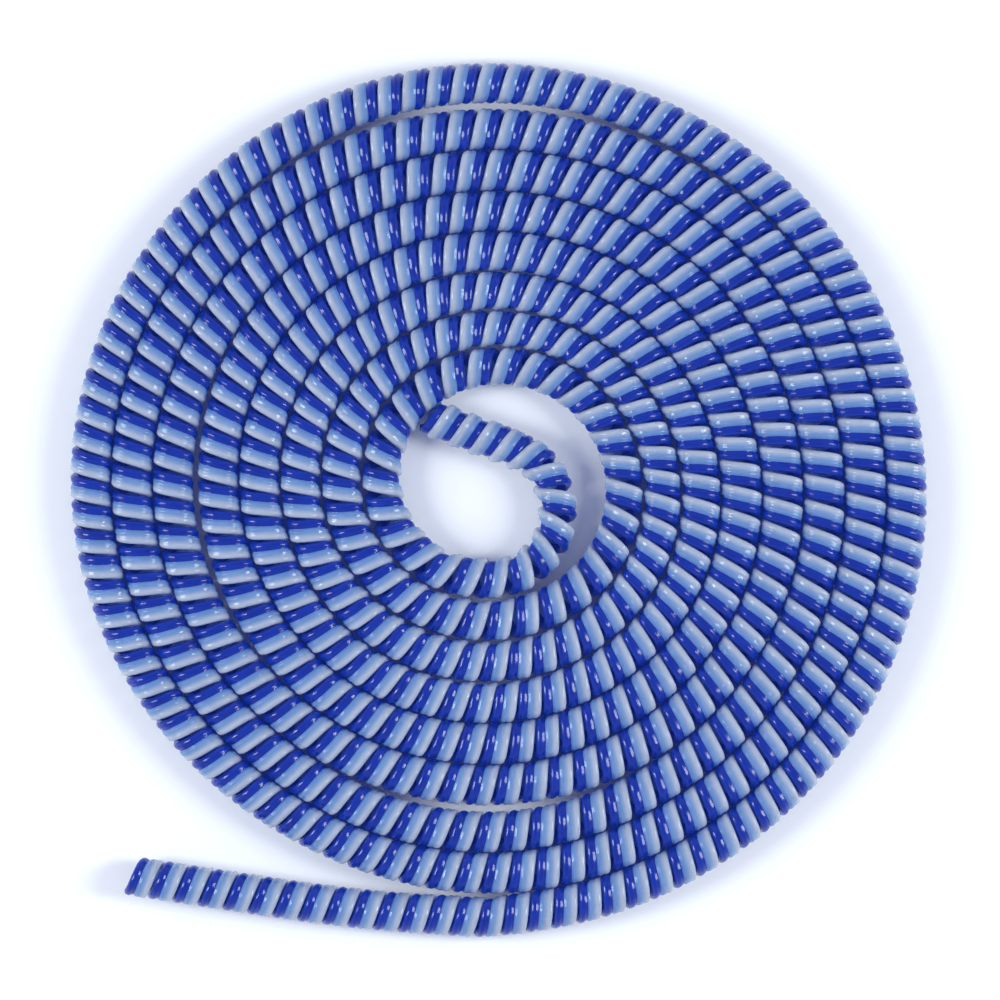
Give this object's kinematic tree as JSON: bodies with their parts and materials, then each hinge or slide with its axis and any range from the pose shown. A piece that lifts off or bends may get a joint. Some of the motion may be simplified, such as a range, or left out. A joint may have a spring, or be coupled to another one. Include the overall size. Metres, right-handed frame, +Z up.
{
  "type": "spiral cord wrap",
  "caption": "Springy spiral tube of bonded plastic strands that wraps round a cable, lying as a loose flat coil with both ends free.",
  "frame": {"origin": "middle of the coil's outer box, on the surface that the coil lies on", "axes": "+Z up, out of the coil's plane; the outer end's tail runs along the -Y side and points towards -X"},
  "size_m": [0.0942, 0.096, 0.0044],
  "materials": {
    "dark_blue_plastic": "glossy",
    "light_blue_plastic": "glossy",
    "white_plastic": "glossy"
  },
  "bodies": {
    "root": {"coil": "dark_blue_plastic", "outer_tail": "dark_blue_plastic", "inner_end": "dark_blue_plastic"}
  },
  "joints": []
}
